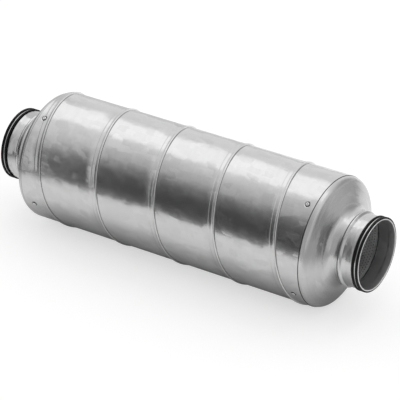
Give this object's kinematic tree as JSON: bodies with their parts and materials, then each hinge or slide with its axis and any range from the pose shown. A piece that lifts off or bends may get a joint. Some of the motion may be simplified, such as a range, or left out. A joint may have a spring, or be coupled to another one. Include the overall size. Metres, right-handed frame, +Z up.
{
  "type": "round duct silencer",
  "caption": "Round straight-through sound attenuator for ventilation duct: spiral-wound casing, pressed end caps and spigots with rubber lip seals, perforated liner backed by mineral wool.",
  "frame": {"origin": "middle of the attenuator, on the duct's axis", "axes": "+X along the duct, towards the right-hand spigot of the picture; +Z up; the picture is taken from -Y"},
  "size_m": [0.7238, 0.2294, 0.2294],
  "materials": {
    "galvanised_strip": "bright galvanised sheet, faint lengthwise zinc streaks",
    "galvanised_pressing": "galvanised sheet, drawn, slightly duller",
    "galvanised_spigot": "bright galvanised sheet",
    "black_rubber": "smooth, slightly satin",
    "bright_steel": "bright strip",
    "rivet_aluminium": "satin",
    "mandrel_steel": "dull",
    "perforated_sheet": "galvanised, perforated",
    "fleece": "matt black glass fleece",
    "mineral_wool": "matt, fibrous"
  },
  "bodies": {
    "root": {"outer_casing": "galvanised_strip", "end_cap_left": "galvanised_pressing", "end_cap_right": "galvanised_pressing", "spigot_left": "galvanised_spigot", "spigot_right": "galvanised_spigot", "gasket_left": "black_rubber", "gasket_right": "black_rubber", "gasket_strap_left": "bright_steel", "gasket_strap_right": "bright_steel", "cap_rivets_left": "rivet_aluminium", "cap_rivets_right": "rivet_aluminium", "rivet_mandrels_left": "mandrel_steel", "rivet_mandrels_right": "mandrel_steel", "perforated_tube": "perforated_sheet", "fleece_wrap": "fleece", "mineral_wool_upper": "mineral_wool", "mineral_wool_lower": "mineral_wool"}
  },
  "joints": []
}
